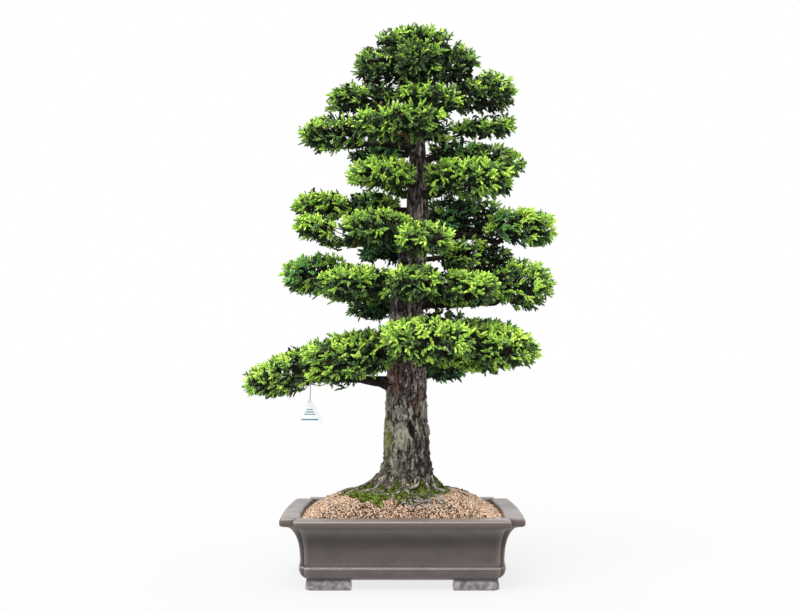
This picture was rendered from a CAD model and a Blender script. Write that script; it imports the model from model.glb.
import math

import bmesh
import bpy
import numpy as np
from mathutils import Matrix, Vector
from mathutils.bvhtree import BVHTree
from mathutils.kdtree import KDTree


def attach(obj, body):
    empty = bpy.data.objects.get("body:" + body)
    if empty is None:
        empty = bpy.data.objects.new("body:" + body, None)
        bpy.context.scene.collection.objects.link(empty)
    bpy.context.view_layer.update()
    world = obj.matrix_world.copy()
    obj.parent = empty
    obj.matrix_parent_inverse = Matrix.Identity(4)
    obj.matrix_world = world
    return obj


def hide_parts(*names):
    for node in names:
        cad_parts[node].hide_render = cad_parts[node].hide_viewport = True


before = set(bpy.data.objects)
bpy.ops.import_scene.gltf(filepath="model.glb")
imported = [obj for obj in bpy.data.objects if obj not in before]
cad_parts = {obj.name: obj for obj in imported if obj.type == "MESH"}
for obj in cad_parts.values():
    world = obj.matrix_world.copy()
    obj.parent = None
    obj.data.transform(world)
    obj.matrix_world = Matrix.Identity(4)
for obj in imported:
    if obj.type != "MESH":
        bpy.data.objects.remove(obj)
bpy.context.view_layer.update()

rng = np.random.default_rng(20)

# ---- named sizes, the same as in the source of the solids ----
GAP = 0.0003
WALL_X, WALL_Y, FOOT_HEIGHT = 0.160, 0.114, 0.0155
SIDE_BOW, NOTCH, NOTCH_GROWTH, INSIDE_CHAMFER, FLOOR = 0.006, 0.007, 0.55, 0.010, 0.026
FOOT_LENGTH, FOOT_RETURN, FOOT_WIDTH, FOOT_CORNER = 0.073, 0.052, 0.022, 0.006
FOOT_OUTSIDE, FOOT_FRONT = 0.153, 0.107
SOIL_EDGE, SOIL_RIM, SOIL_TOP = 0.105, -0.0018, 0.143
MOUND_X, MOUND_Y, MOUND_SHIFT, MOUND_CURVE = 0.087, 0.068, 0.001, 1.5
TRUNK_FOOT, TRUNK_TIP, TAPER_END, TRUNK_RADIUS, TAPER_POWER = SOIL_TOP + GAP, 0.893, 0.908, 0.041, 0.8
TREE_X, LEAN, LEAN_FROM, LEAN_TO, SWAY, FLARE, FLARE_HEIGHT = 0.0025, 0.020, 0.430, 0.640, 0.004, 0.008, 0.020
FOOT_X = TREE_X + 0.0046
ROOTS = ((-4, 0.024), (52, 0.014), (98, 0.018), (150, 0.013),
         (184, 0.036), (226, 0.016), (262, 0.020), (306, 0.015))
ROOT_SPREAD, ROOT_FADE, BARK_FLUTES, FLUTE_DEPTH = 17, 0.015, 5, 0.035
BOUGH_STEPS, BOUGH_ROOT, BOUGH_TIP, BOUGH_TAPER = 7, 1.25, 0.45, 0.7
SQUARENESS = 2.5
STEM_RADIUS, STEM_TAPER, STEM_RISE, STEM_SUNK, STEM_END = 0.0055, 0.55, 0.12, 0.002, (-0.25, -0.05)
TAG_TOP, TAG_WIDTH, TAG_HEIGHT, TAG_THICK = (-0.152, -0.054, 0.296), 0.044, 0.038, 0.0008
CREST = "apex_crest"
# name, centre, half sizes (outward, across, up) and droop in degrees; where a bough carries the mass, also its
# height on the trunk, where it enters the mass (outward and up, in half sizes), its arch, sway and radius
MASSES = (
    ("low_left_tip", (-0.201, -0.020, 0.3335), (0.078, 0.066, 0.039), 16,
         (0.317, -0.80, -0.45, 0.004, 0.004, 0.0095)),
    ("low_left", (-0.086, -0.062, 0.363), (0.087, 0.060, 0.044), 15),
    ("low_front", (0.036, -0.132, 0.396), (0.070, 0.080, 0.038), 6),
    ("low_right", (0.150, -0.070, 0.385), (0.084, 0.065, 0.040), 10,
         (0.366, 0.00, -0.88, 0.000, -0.006, 0.0100)),
    ("low_right_back", (0.150, 0.072, 0.401), (0.092, 0.064, 0.042), 12,
         (0.368, -0.78, -0.45, 0.000, 0.004, 0.0090)),
    ("low_right_under", (0.073, 0.040, 0.352), (0.046, 0.040, 0.030), 0),
    ("low_back", (0.072, 0.132, 0.427), (0.068, 0.078, 0.037), 6),
    ("low_left_back", (-0.090, 0.096, 0.374), (0.080, 0.064, 0.038), 13),
    ("second_left", (-0.152, 0.014, 0.512), (0.067, 0.055, 0.039), 5,
         (0.494, -0.30, -0.95, -0.004, -0.004, 0.0085)),
    ("second_left_front", (-0.075, -0.084, 0.487), (0.076, 0.063, 0.035), 3),
    ("second_front", (0.017, -0.128, 0.485), (0.057, 0.054, 0.032), 4),
    ("second_right_up", (0.125, 0.018, 0.542), (0.084, 0.062, 0.040), 8),
    ("second_right", (0.197, -0.018, 0.494), (0.067, 0.060, 0.046), 15,
         (0.464, -0.45, -0.95, -0.004, 0.006, 0.0090)),
    ("second_right_front", (0.098, -0.088, 0.479), (0.070, 0.058, 0.034), 4),
    ("second_left_low", (-0.054, 0.050, 0.455), (0.048, 0.044, 0.027), 0),
    ("second_back", (0.036, 0.130, 0.478), (0.062, 0.078, 0.031), 3),
    ("second_left_back", (-0.090, 0.106, 0.496), (0.068, 0.058, 0.029), 4),
    ("third_left", (-0.143, 0.008, 0.630), (0.056, 0.048, 0.032), 3,
         (0.598, -0.78, -0.50, 0.004, 0.008, 0.0080)),
    ("third_left_in", (-0.062, 0.036, 0.630), (0.062, 0.050, 0.033), 0),
    ("third_left_tip", (-0.147, -0.062, 0.582), (0.039, 0.037, 0.026), -15,
         (0.571, -0.55, -0.85, -0.003, 0.010, 0.0080)),
    ("third_left_front", (-0.041, -0.080, 0.575), (0.077, 0.060, 0.037), 0),
    ("third_front", (0.030, -0.124, 0.555), (0.052, 0.053, 0.031), 4),
    ("third_right_in", (0.108, 0.028, 0.611), (0.073, 0.050, 0.042), 0),
    ("third_right", (0.200, -0.010, 0.593), (0.068, 0.056, 0.038), 4,
         (0.560, -0.55, -0.85, 0.014, -0.004, 0.0100)),
    ("third_left_low", (-0.036, 0.064, 0.557), (0.048, 0.046, 0.027), 0),
    ("third_back", (0.050, 0.124, 0.613), (0.062, 0.076, 0.031), 3),
    ("fourth_left_up", (-0.046, 0.046, 0.728), (0.054, 0.048, 0.021), 0),
    ("fourth_left", (-0.040, -0.054, 0.671), (0.065, 0.055, 0.033), 4),
    ("fourth_right_front", (0.108, -0.056, 0.667), (0.088, 0.054, 0.036), 6,
         (0.640, -0.62, -0.85, 0.004, 0.000, 0.0075)),
    ("fourth_right", (0.131, 0.034, 0.719), (0.097, 0.052, 0.034), 10,
         (0.700, -0.80, -0.45, -0.002, 0.004, 0.0070)),
    ("fourth_back", (0.020, 0.108, 0.690), (0.062, 0.072, 0.033), 3),
    ("fifth_left", (-0.119, 0.002, 0.757), (0.070, 0.050, 0.034), 10,
         (0.732, -0.30, -0.90, 0.006, -0.004, 0.0080)),
    ("fifth_front", (-0.008, -0.078, 0.754), (0.052, 0.088, 0.036), 0),
    ("fifth_left_up", (-0.068, 0.006, 0.822), (0.075, 0.051, 0.035), 12),
    ("fifth_front_up", (0.042, -0.054, 0.800), (0.046, 0.063, 0.030), 0),
    ("fifth_right_low", (0.142, 0.012, 0.768), (0.060, 0.045, 0.024), -3,
         (0.752, -0.80, -0.55, -0.006, -0.004, 0.0050)),
    ("fifth_right", (0.137, 0.000, 0.825), (0.065, 0.050, 0.043), 0,
         (0.786, -0.70, -0.60, -0.004, 0.004, 0.0060)),
    ("fifth_back", (0.022, 0.076, 0.790), (0.055, 0.076, 0.038), 0),
    ("apex_left", (-0.038, 0.000, 0.873), (0.058, 0.052, 0.045), 22),
    ("apex_right", (0.084, 0.000, 0.873), (0.052, 0.052, 0.045), 22),
    ("apex_front", (0.026, -0.050, 0.868), (0.041, 0.050, 0.041), 0),
    ("apex_back", (0.026, 0.050, 0.868), (0.041, 0.050, 0.041), 0),
    ("apex_crest", (0.022, 0.000, 0.915), (0.072, 0.058, 0.032), 0),
)

# how light the masses of each tier are, which of them differ, and how much of some is a cooler green
LIGHT = {"low": 0.68, "second": 0.60, "third": 0.56, "fourth": 0.58, "fifth": 0.52, "apex": 0.28}
LIGHTER = {
    "low_front": 0.80, "low_right": 0.78, "low_left": 0.60, "low_left_tip": 0.62, "low_left_back": 0.56,
    "low_right_back": 0.62, "low_back": 0.60, "low_right_under": 0.36, "second_left": 0.79,
    "second_left_low": 0.34, "third_left_low": 0.36, "second_right_up": 0.60, "third_left": 0.82,
    "third_left_tip": 0.78, "third_right": 0.94, "third_left_front": 0.54, "fourth_left": 0.86,
    "fourth_right_front": 0.66, "fourth_left_up": 0.66, "fifth_right_low": 0.42, "fifth_front": 0.62,
    "fifth_left_up": 0.60, "apex_crest": 0.42}
COOL = {
    "third_right": 0.40, "third_right_in": 0.6, "fourth_left_up": 0.7, "fourth_right": 0.40,
    "second_right": 0.35, "second_right_up": 0.3, "low_left": 0.25, "low_left_tip": 0.3,
    "low_right_back": 0.5, "second_left": 0.4, "third_left_in": 0.5, "low_right_under": 0.7,
    "second_left_low": 0.6, "third_left_low": 0.6}
USUAL_COOL = 0.08

# base colours as a share of what the photograph shows, and how much more a needle has than that
EXPOSED, LIT_THROUGH = 0.60, 1.60


# ---- helpers ----

def smoothstep(x, low, high):
    t = np.clip((np.asarray(x, float) - low) / (high - low), 0.0, 1.0)
    return t * t * (3 - 2 * t)


def unit(v):
    return v / np.maximum(np.linalg.norm(v, axis=-1, keepdims=True), 1e-12)


TABLE = np.random.default_rng(7).permutation(256)
TABLE = np.concatenate([TABLE, TABLE, TABLE])
GRADS = unit(np.random.default_rng(8).normal(size=(256, 3)))


def noise(points):
    """Smooth gradient noise, about -0.6 to 0.6, at each point of an array."""
    points = np.asarray(points, float)
    cell = np.floor(points).astype(int)
    local = points - cell
    cell &= 255
    fade = local ** 3 * (local * (local * 6 - 15) + 10)
    total = 0.0
    for dx in (0, 1):
        for dy in (0, 1):
            for dz in (0, 1):
                corner = TABLE[TABLE[TABLE[cell[..., 0] + dx] + cell[..., 1] + dy] + cell[..., 2] + dz]
                offset = local - (dx, dy, dz)
                weight = 1.0
                for axis, d in enumerate((dx, dy, dz)):
                    weight = weight * (fade[..., axis] if d else 1 - fade[..., axis])
                total = total + weight * (GRADS[corner] * offset).sum(-1)
    return total


def flat_noise(x, y, size, shift):
    """Noise over the ground, with features of this size."""
    return noise(np.stack([x / size, y / size, 0 * x + shift], -1))


def placed(name, mesh, material):
    """An object of this mesh, in the scene."""
    mesh.materials.append(material)
    obj = bpy.data.objects.new(name, mesh)
    bpy.context.scene.collection.objects.link(obj)
    return obj


def mesh_object(name, points, faces, material, smooth=True):
    """An object from an array of points and one of triangles or quads."""
    points, faces = np.asarray(points, np.float32).reshape(-1, 3), np.asarray(faces, np.int32)
    count, sides = faces.shape
    mesh = bpy.data.meshes.new(name)
    mesh.vertices.add(len(points))
    mesh.vertices.foreach_set("co", points.ravel())
    mesh.loops.add(count * sides)
    mesh.loops.foreach_set("vertex_index", faces.ravel())
    mesh.polygons.add(count)
    mesh.polygons.foreach_set("loop_start", np.arange(0, count * sides, sides, dtype=np.int32))
    mesh.polygons.foreach_set("use_smooth", np.full(count, smooth))
    mesh.update(calc_edges=True)
    mesh.validate()
    return placed(name, mesh, material)


def bmesh_object(name, bm, material, smooth_angle=None):
    bmesh.ops.recalc_face_normals(bm, faces=bm.faces)
    mesh = bpy.data.meshes.new(name)
    if smooth_angle is not None:
        for face in bm.faces:
            face.smooth = True
        for edge in bm.edges:
            edge.smooth = edge.calc_face_angle(0.0) < math.radians(smooth_angle)
    bm.to_mesh(mesh)
    bm.free()
    return placed(name, mesh, material)


def set_attribute(obj, name, values):
    layer = obj.data.attributes.new(name, "FLOAT", "POINT")
    layer.data.foreach_set("value", np.asarray(values, np.float32).ravel())


def ring_faces(rings, sides):
    """Quads that skin rings of equal count stored one after another."""
    start, i = np.arange(rings - 1)[:, None] * sides, np.arange(sides)
    a, b = start + i, start + (i + 1) % sides
    return np.stack([a, b, b + sides, a + sides], -1).reshape(-1, 4)


def copies(faces, count, step):
    """The faces of one small form for many alike, each with this many points of its own."""
    return ((np.arange(count) * step)[:, None, None] + faces).reshape(-1, faces.shape[1])


def skin_rows(bm, rows):
    """Quads between closed rows of points, and a face over either end."""
    for low, high in zip(rows, rows[1:]):
        for i in range(len(low)):
            j = (i + 1) % len(low)
            bm.faces.new((low[i], low[j], high[j], high[i]))
    bm.faces.new(reversed(rows[0]))
    bm.faces.new(rows[-1])


def close_ends(obj, sides, turn_out):
    """A face over the first and the last ring of a skin."""
    bm = bmesh.new()
    bm.from_mesh(obj.data)
    bm.verts.ensure_lookup_table()
    bm.faces.new(bm.verts[:sides][::-1])
    bm.faces.new(bm.verts[-sides:])
    if turn_out:
        bmesh.ops.recalc_face_normals(bm, faces=bm.faces)
    bm.to_mesh(obj.data)
    bm.free()


def bearings(sides):
    return np.arange(sides) * math.tau / sides


def normals_along(path):
    """Two directions across at each point of a path, with little twist."""
    tangent = unit(np.gradient(path, axis=0))
    side = np.zeros_like(path)
    first = np.array([0.0, 0.0, 1.0]) if abs(tangent[0, 2]) < 0.9 else np.array([1.0, 0.0, 0.0])
    side[0] = unit(np.cross(tangent[0], first))
    for i in range(1, len(path)):
        side[i] = unit(side[i - 1] - tangent[i] * side[i - 1].dot(tangent[i]))
    return side, np.cross(tangent, side)


def tree_of(points):
    """The points as a tree that finds the nearest."""
    tree = KDTree(len(points))
    for i, point in enumerate(points):
        tree.insert(point, i)
    tree.balance()
    return tree


def picked(which, *arrays):
    return [array[which] for array in arrays]


def catmull(points, count):
    """A smooth curve through the points, resampled evenly by parameter."""
    points = np.asarray(points, float)
    padded = np.vstack([2 * points[0] - points[1], points, 2 * points[-1] - points[-2]])
    t = np.linspace(0, len(points) - 1, count)
    i = np.minimum(t.astype(int), len(points) - 2)
    f = (t - i)[:, None]
    a, b, c, d = padded[i], padded[i + 1], padded[i + 2], padded[i + 3]
    return 0.5 * (2 * b + (c - a) * f + (2 * a - 5 * b + 4 * c - d) * f ** 2
                  + (3 * b - a - 3 * c + d) * f ** 3)


def tubes(name, paths, radii, sides, material):
    """One object of many tapering tubes: paths (n, k, 3) and radii (n, k)."""
    n, k, _ = paths.shape
    tangent = unit(np.gradient(paths, axis=1))
    helper = np.where(np.abs(tangent[:, :1, 2:]) < 0.8, np.array([0.0, 0.0, 1.0]), np.array([1.0, 0.0, 0.0]))
    side = unit(np.cross(tangent, np.broadcast_to(helper, tangent.shape)))
    other = np.cross(tangent, side)
    angle = bearings(sides)
    ring = side[:, :, None] * np.cos(angle)[:, None] + other[:, :, None] * np.sin(angle)[:, None]
    points = paths[:, :, None] + ring * radii[:, :, None, None]
    return mesh_object(name, points, copies(ring_faces(k, sides), n, k * sides), material)


# ---- finishes ----

class Nodes:
    """A material's node tree, built from short calls."""

    def __init__(self, name):
        self.material = bpy.data.materials.new(name)
        self.material.use_nodes = True
        self.tree = self.material.node_tree
        self.shader = self.tree.nodes["Principled BSDF"]

    def feed(self, socket, value):
        """Gives a socket another node's output, a colour, three numbers or one."""
        if isinstance(value, bpy.types.NodeSocket):
            self.tree.links.new(value, socket)
        else:
            socket.default_value = (*value, 1.0) if socket.type == "RGBA" else value

    def add(self, kind, inputs=None, **settings):
        node = self.tree.nodes.new(kind)
        for key, value in settings.items():
            setattr(node, key, value)
        for key, value in (inputs or {}).items():
            self.feed(node.inputs[key], value)
        return node

    def place(self):
        return self.add("ShaderNodeTexCoord").outputs["Object"]

    def noise(self, size, detail=4.0, rough=0.55, scale=(1.0, 1.0, 1.0), distortion=0.0):
        """Noise with features of about this size in metres."""
        place = self.add("ShaderNodeMapping", {"Vector": self.place(), "Scale": scale}).outputs["Vector"]
        return self.add("ShaderNodeTexNoise", {"Vector": place, "Scale": 1.0 / size, "Detail": detail,
                                               "Roughness": rough, "Distortion": distortion}).outputs["Fac"]

    def ramp(self, value, stops):
        node = self.add("ShaderNodeValToRGB", {"Fac": value})
        elements = node.color_ramp.elements
        while len(elements) < len(stops):
            elements.new(0.5)
        for element, (place, colour) in zip(elements, stops):
            element.position = place
            element.color = (*colour, 1.0)
        return node.outputs["Color"]

    def range(self, value, low, high, to_low, to_high):
        return self.add("ShaderNodeMapRange", {"Value": value, "From Min": low, "From Max": high,
                                               "To Min": to_low, "To Max": to_high}).outputs["Result"]

    def mix(self, factor, one, two, blend="MIX"):
        return self.add("ShaderNodeMix", {0: factor, 6: one, 7: two},
                        data_type="RGBA", blend_type=blend).outputs[2]

    def math(self, operation, one, two=0.0):
        return self.add("ShaderNodeMath", {0: one, 1: two}, operation=operation).outputs[0]

    def times(self, one, two):
        return self.math("MULTIPLY", one, two)

    def height(self):
        """The object's own height, in metres."""
        return self.add("ShaderNodeSeparateXYZ", {"Vector": self.place()}).outputs["Z"]

    def attribute(self, name):
        return self.add("ShaderNodeAttribute", attribute_name=name).outputs["Fac"]

    def bump(self, value, distance, strength):
        node = self.add("ShaderNodeBump", {"Height": value, "Distance": distance, "Strength": strength})
        self.feed(self.shader.inputs["Normal"], node.outputs["Normal"])

    def finish(self, colour, roughness, specular):
        self.feed(self.shader.inputs["Base Color"], colour)
        self.feed(self.shader.inputs["Roughness"], roughness)
        self.feed(self.shader.inputs["Specular IOR Level"], specular)
        return self.material


def srgb(r, g, b):
    """A base colour that shows as this one under the scene's light."""
    shares = (r / 255, g / 255, b / 255)
    return tuple(EXPOSED * (v / 12.92 if v <= 0.04045 else ((v + 0.055) / 1.055) ** 2.4) for v in shares)


def leaf(r, g, b):
    """A needle's base colour: young needles let light through, so they show brighter than bark does."""
    return tuple(LIT_THROUGH * v for v in srgb(r, g, b))


def tones(*rows):
    """Stops of a ramp from rows of a place and a colour in 0 to 255."""
    return tuple((place, srgb(*tone)) for place, *tone in rows)


def plain(name, colour, roughness, specular=0.3):
    """One base colour, with a roughness that wanders a little."""
    nodes = Nodes(name)
    rough = nodes.range(nodes.noise(0.004, 2.0), 0.3, 0.7, roughness - 0.06, roughness + 0.06)
    return nodes.finish(colour, rough, specular)


def family(kind, roughness, specular, **colours):
    """Plain finishes of one kind in several colours."""
    return [plain(f"{kind}_{name}", srgb(*tone), roughness, specular) for name, tone in colours.items()]


# ---- sizes and tones of the finer growth ----
PAIRS = 4  # of twigs along a mass's stem
REACH = 0.985  # how far out in its space a mass's sprays end
SPRAY_GAP, SPRAY_LENGTH = 0.0122, 0.0170
SPRAY_GROWTH = {"apex": 1.28, "fifth": 1.15, "low": 0.96}
INNER_GAP, INNER_LENGTH, INNER_WIDTH = 0.0160, (0.015, 0.021), 0.0085
NEEDLE_LENGTH, NEEDLE_WIDTH, BODY_WIDTH = 0.0046, 0.0015, 0.0020
MOST_TRIANGLES = 190000  # in one piece
GREEN_EDGES = (0.08, 0.20, 0.34, 0.52, 0.70, 0.88)  # the shades at which one green gives way to the next
GREENS = [leaf(40, 53, 38), leaf(62, 82, 56), leaf(90, 116, 68), leaf(122, 158, 76), leaf(150, 191, 78),
          leaf(178, 216, 86), leaf(204, 234, 108)]
COOLS = [leaf(48, 74, 56), leaf(74, 113, 76), leaf(102, 154, 92), leaf(134, 189, 104)]
# how much of their space some masses fill, as a share: at the tip, on top and underneath
TRIM = {
    "third_right": (0.99, 0.89, 1.08), "second_right": (0.94, 0.98, 1.00), "low_right": (0.94, 1.0, 0.96),
    "low_front": (1.0, 1.0, 1.08), "apex_crest": (1.06, 0.95, 1.0), "low_left": (1.0, 1.18, 0.97),
    "low_left_tip": (0.96, 1.04, 0.84), "second_left": (0.99, 0.97, 1.0), "fourth_left": (0.96, 1.0, 0.70),
    "fourth_right": (1.0, 1.05, 1.0), "third_left": (1.0, 0.86, 1.0), "third_left_tip": (1.0, 0.94, 0.96),
    "second_left_low": (1.0, 1.0, 0.86), "fifth_left_up": (1.0, 0.90, 1.0), "apex_left": (0.90, 1.0, 1.0),
    "fourth_right_front": (1.0, 1.0, 1.12), "third_right_in": (1.0, 1.10, 1.0)}
# where the top of a mass humps up: x, half width and share of the space
HUMPS = {"low_left_tip": (-0.172, 0.034, 0.42), "low_left": (-0.140, 0.030, 0.30)}
CLOTHED = {"low_right": 80, "third_left_tip": 24}  # sprays that hang from a bough before it reaches its mass
HUB_GAP = 0.030  # between the branchlets that carry the sprays
TAG_THREAD, THREAD_RADIUS, INK_LIFT = 0.042, 0.00055, 0.00012
# how finely the wood is made: sides round it, points along it and the depth of its bark
TRUNK_SIDES, TRUNK_BARK = 190, 0.0052
LIMB_SIDES, LIMB_STEPS, LIMB_BARK = 22, 56, 0.0013
ROOT_SIDES, ROOT_STEPS, ROOT_BARK = 14, 46, 0.0014
STEM_STEPS, TWIG_STEPS, BRANCHLET_STEPS = 24, 10, 7
POT_ROUNDING, SOIL_ROUNDING, FOOT_ROUNDING, BED_BOTTOM = 0.0018, 0.0014, 0.0011, 0.090
# the floor's base colour and its glow, and the strengths of the sky and of the two lights
FLOOR_TONE, FLOOR_GLOW, SKY, KEY, TOP = 0.07, 0.80, 1.0, 4.0, 2.4
# how many granules there are, their sizes, the share of each colour, and where they may lie
GRANULES, GRANULE, GRANULE_SHARES = 18000, (0.0009, 0.0019), (0.34, 0.27, 0.20, 0.10, 0.09)
SOIL_X, SOIL_Y = 0.166, 0.113
# how many blades of moss are tried and kept at most, half a blade's width, and the shades that part the greens
MOSS_TRIED, MOSS_MOST, MOSS_WIDTH, MOSS_EDGES = 90000, 22000, 0.00055, (-9.0, -0.06, 0.16, 9.0)
LITTER = (0.026, -0.078, 0.016, 0.009)  # middle and spread of the dead twigs in front of the moss
COLLAR = 0.172  # up to here the foot of the trunk counts as ground that moss may grow on
CAMERA_PLACE, CAMERA_TILT, CAMERA_LENS = np.array([-0.0036, -1.6675, 0.3474]), 93.716, 43.99
# openings in the crown where sky shows from the front: x, z, half width and half height at the trunk's depth
SKY_GAPS = ((0.058, 0.563, 0.014, 0.016), (0.062, 0.532, 0.010, 0.020), (-0.038, 0.531, 0.016, 0.010),
            (-0.110, 0.584, 0.022, 0.011), (0.062, 0.855, 0.013, 0.015), (0.110, 0.7965, 0.022, 0.0040),
            (0.117, 0.7585, 0.010, 0.004), (0.074, 0.7730, 0.014, 0.018), (-0.115, 0.589, 0.010, 0.008),
            (0.120, 0.440, 0.055, 0.006))


# ---- pot ----

def pot_corners(offset, notched=True, chamfer=0.0):
    half_x, half_y = WALL_X + offset, WALL_Y + offset
    step = NOTCH + NOTCH_GROWTH * max(offset, 0.0) if notched else chamfer
    side_end = half_y - step
    bow = [(half_x + SIDE_BOW * (1 - (y / half_y) ** 2), y) for y in np.linspace(0.0, side_end, 9)]
    end_x = bow[-1][0]
    inner = (end_x - step, side_end) if notched else (end_x - 0.3 * step, half_y - 0.3 * step)
    quarter = bow + [inner, (end_x - step, half_y)]
    quarter += [(x, half_y) for x in np.linspace(end_x - step, 0.0, 13)[1:]]
    half = quarter + [(-x, y) for x, y in reversed(quarter[:-1])]
    return half + [(x, -y) for x, y in reversed(half[1:-1])]


def softened(ring, radius):
    """The ring with each corner rounded by three points."""
    ring = np.asarray(ring, float)
    before, after = np.roll(ring, 1, 0) - ring, np.roll(ring, -1, 0) - ring
    sides = np.minimum(np.linalg.norm(before, axis=1), np.linalg.norm(after, axis=1))
    reach = np.minimum(radius, 0.45 * sides)
    a = ring + unit(before) * reach[:, None]
    b = ring + unit(after) * reach[:, None]
    return np.stack([a, 0.5 * ring + 0.25 * (a + b), b], 1).reshape(-1, 2)


POT_PROFILE = (
    (-0.0120, 0.0155), (-0.0100, 0.0163), (-0.0078, 0.0174), (-0.0056, 0.0190), (-0.0034, 0.0212),
    (-0.0014, 0.0237), (0.0000, 0.0264), (0.0009, 0.0290), (0.0015, 0.0315), (0.0019, 0.0335),
    (0.0020, 0.0347), (0.0017, 0.0357), (0.0011, 0.0364), (0.0003, 0.0370), (0.0000, 0.0378),
    (0.0000, 0.0430), (0.0001, 0.0500), (0.0006, 0.0580), (0.0014, 0.0660), (0.0026, 0.0730),
    (0.0042, 0.0792), (0.0062, 0.0847), (0.0086, 0.0896), (0.0112, 0.0936), (0.0140, 0.0967),
    (0.0168, 0.0986), (0.0200, 0.0996), (0.0240, 0.1003), (0.0272, 0.1008), (0.0293, 0.1017),
    (0.0305, 0.1030), (0.0310, 0.1046), (0.0310, 0.1070), (0.0310, 0.1094), (0.0306, 0.1109),
    (0.0297, 0.1123), (0.0284, 0.1133), (0.0265, 0.1139), (0.0240, 0.1140), (0.0140, 0.1140),
    (0.0060, 0.1139))
POT_MOUTH = ((0.0030, 0.1138), (0.0016, 0.1132), (0.0006, 0.1120), (0.0000, 0.1100), (-0.0018, 0.1040),
             (-0.0040, 0.0950), (-0.0105, 0.0480), (-0.0150, FLOOR))


def pot_edges(rings):
    """How far each point stands on an edge that the glaze has run off, above 0, or in a groove, below 0."""
    rings = np.array([[(x, y) for x, y, _ in ring] for ring in rings])
    before, after = unit(rings - np.roll(rings, 1, 1)), unit(np.roll(rings, -1, 1) - rings)
    turn = before[..., 0] * after[..., 1] - before[..., 1] * after[..., 0]
    edge = np.clip(np.where(np.abs(turn) > 0.2, turn * 1.5, 0.0), -1.0, 1.0)
    edge[len(POT_PROFILE):] = 0.0
    for level, (_, z) in enumerate(POT_PROFILE):
        if 0.0340 < z < 0.0360:
            edge[level] = np.maximum(edge[level], 0.9)
        if 0.0365 < z < 0.0380:
            edge[level] = np.minimum(edge[level], -0.5)
    return edge


def make_pot(clay, feet_clay):
    rings = [(pot_corners(offset), z) for offset, z in POT_PROFILE]
    rings += [(pot_corners(offset, False, INSIDE_CHAMFER), z) for offset, z in POT_MOUTH]
    rings = [[(x, y, z) for x, y in softened(ring, POT_ROUNDING)] for ring, z in rings]
    bm = bmesh.new()
    skin_rows(bm, [[bm.verts.new(p) for p in ring] for ring in rings])
    body = bmesh_object("pot_body", bm, clay, 38)
    set_attribute(body, "edge", pot_edges(rings))
    bm = bmesh.new()
    for side in (-1, 1):
        for end in (-1, 1):
            mesh = make_foot(side, end)
            bm.from_mesh(mesh)
            bpy.data.meshes.remove(mesh)
    return body, bmesh_object("pot_feet", bm, feet_clay, 40)


def make_foot(side, end):
    bm = bmesh.new()
    rows = []
    for grow, z in ((-0.0015, 0.0), (0.0, 0.0020), (-0.0005, 0.0100), (-0.0020, FOOT_HEIGHT + 0.0015)):
        outer_x, outer_y = FOOT_OUTSIDE + grow, FOOT_FRONT + grow
        inner_x, inner_y = outer_x - FOOT_WIDTH - 2 * grow, outer_y - FOOT_WIDTH - 2 * grow
        end_x, end_y = FOOT_OUTSIDE - FOOT_LENGTH - grow, FOOT_FRONT - FOOT_RETURN - grow
        ring = ((end_x, outer_y), (outer_x - FOOT_CORNER, outer_y), (outer_x, outer_y - FOOT_CORNER),
                (outer_x, end_y), (inner_x, end_y), (inner_x, inner_y), (end_x, inner_y))
        rows.append([bm.verts.new((side * x, end * y, z)) for x, y in ring])
    skin_rows(bm, rows)
    sharp = [e for e in bm.edges if e.calc_face_angle(0.0) > math.radians(30)]
    bmesh.ops.bevel(bm, geom=sharp, offset=FOOT_ROUNDING, segments=3, profile=0.5, affect="EDGES",
                    clamp_overlap=True)
    mesh = bpy.data.meshes.new("foot")
    bm.to_mesh(mesh)
    bm.free()
    return mesh


# ---- soil, moss and stones ----

def mound_rings():
    """The soil's surface as rings from the rim up to the flat place under the trunk."""
    rim = np.array(softened(pot_corners(SOIL_RIM - GAP, False, INSIDE_CHAMFER), SOIL_ROUNDING))
    scaled = rim / (WALL_X, WALL_Y)
    reach = np.hypot(scaled[:, 0], scaled[:, 1])[:, None]
    top = scaled / reach * (MOUND_X, MOUND_Y) + (MOUND_SHIFT, 0.0)
    rings = []
    for share in np.linspace(0.0, 1.0, 30):
        level = SOIL_EDGE + (SOIL_TOP - SOIL_EDGE) * (1 - (1 - share) ** MOUND_CURVE)
        flat = rim * (1 - share) + top * share
        rings.append(np.column_stack([flat, np.full(len(flat), level)]))
    for share in (0.75, 0.5, 0.25, 0.05):
        middle = top.mean(0)
        rings.append(np.column_stack([middle + (top - middle) * share, np.full(len(top), SOIL_TOP)]))
    return np.array(rings)


def make_bed(material):
    rings = mound_rings()
    rings[:, :, 2] -= 0.0022 + 0.0012 * noise(rings / 0.012)
    rings[0, :, 2] -= 0.005
    count, sides, _ = rings.shape
    floor = rings[0] * (1, 1, 0) + (0, 0, BED_BOTTOM)
    points = np.vstack([floor, rings.reshape(-1, 3)])
    bed = mesh_object("soil_bed", points, ring_faces(count + 1, sides), material)
    close_ends(bed, sides, True)
    return bed


def ground_tree():
    """The soil with the foot of the trunk standing in it, as a tree for casting rays down on it."""
    rings = mound_rings()
    count, sides, _ = rings.shape
    faces = ring_faces(count, sides).tolist()
    points = rings.reshape(-1, 3).tolist()
    faces.append(range(len(points) - sides, len(points)))
    _, _, way, axis, radius = trunk_grid(np.linspace(TRUNK_FOOT, COLLAR, 12), 72)
    faces += (ring_faces(12, 72) + len(points)).tolist()
    points += (axis + way * radius[..., None]).reshape(-1, 3).tolist()
    return BVHTree.FromPolygons(points, faces)


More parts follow.
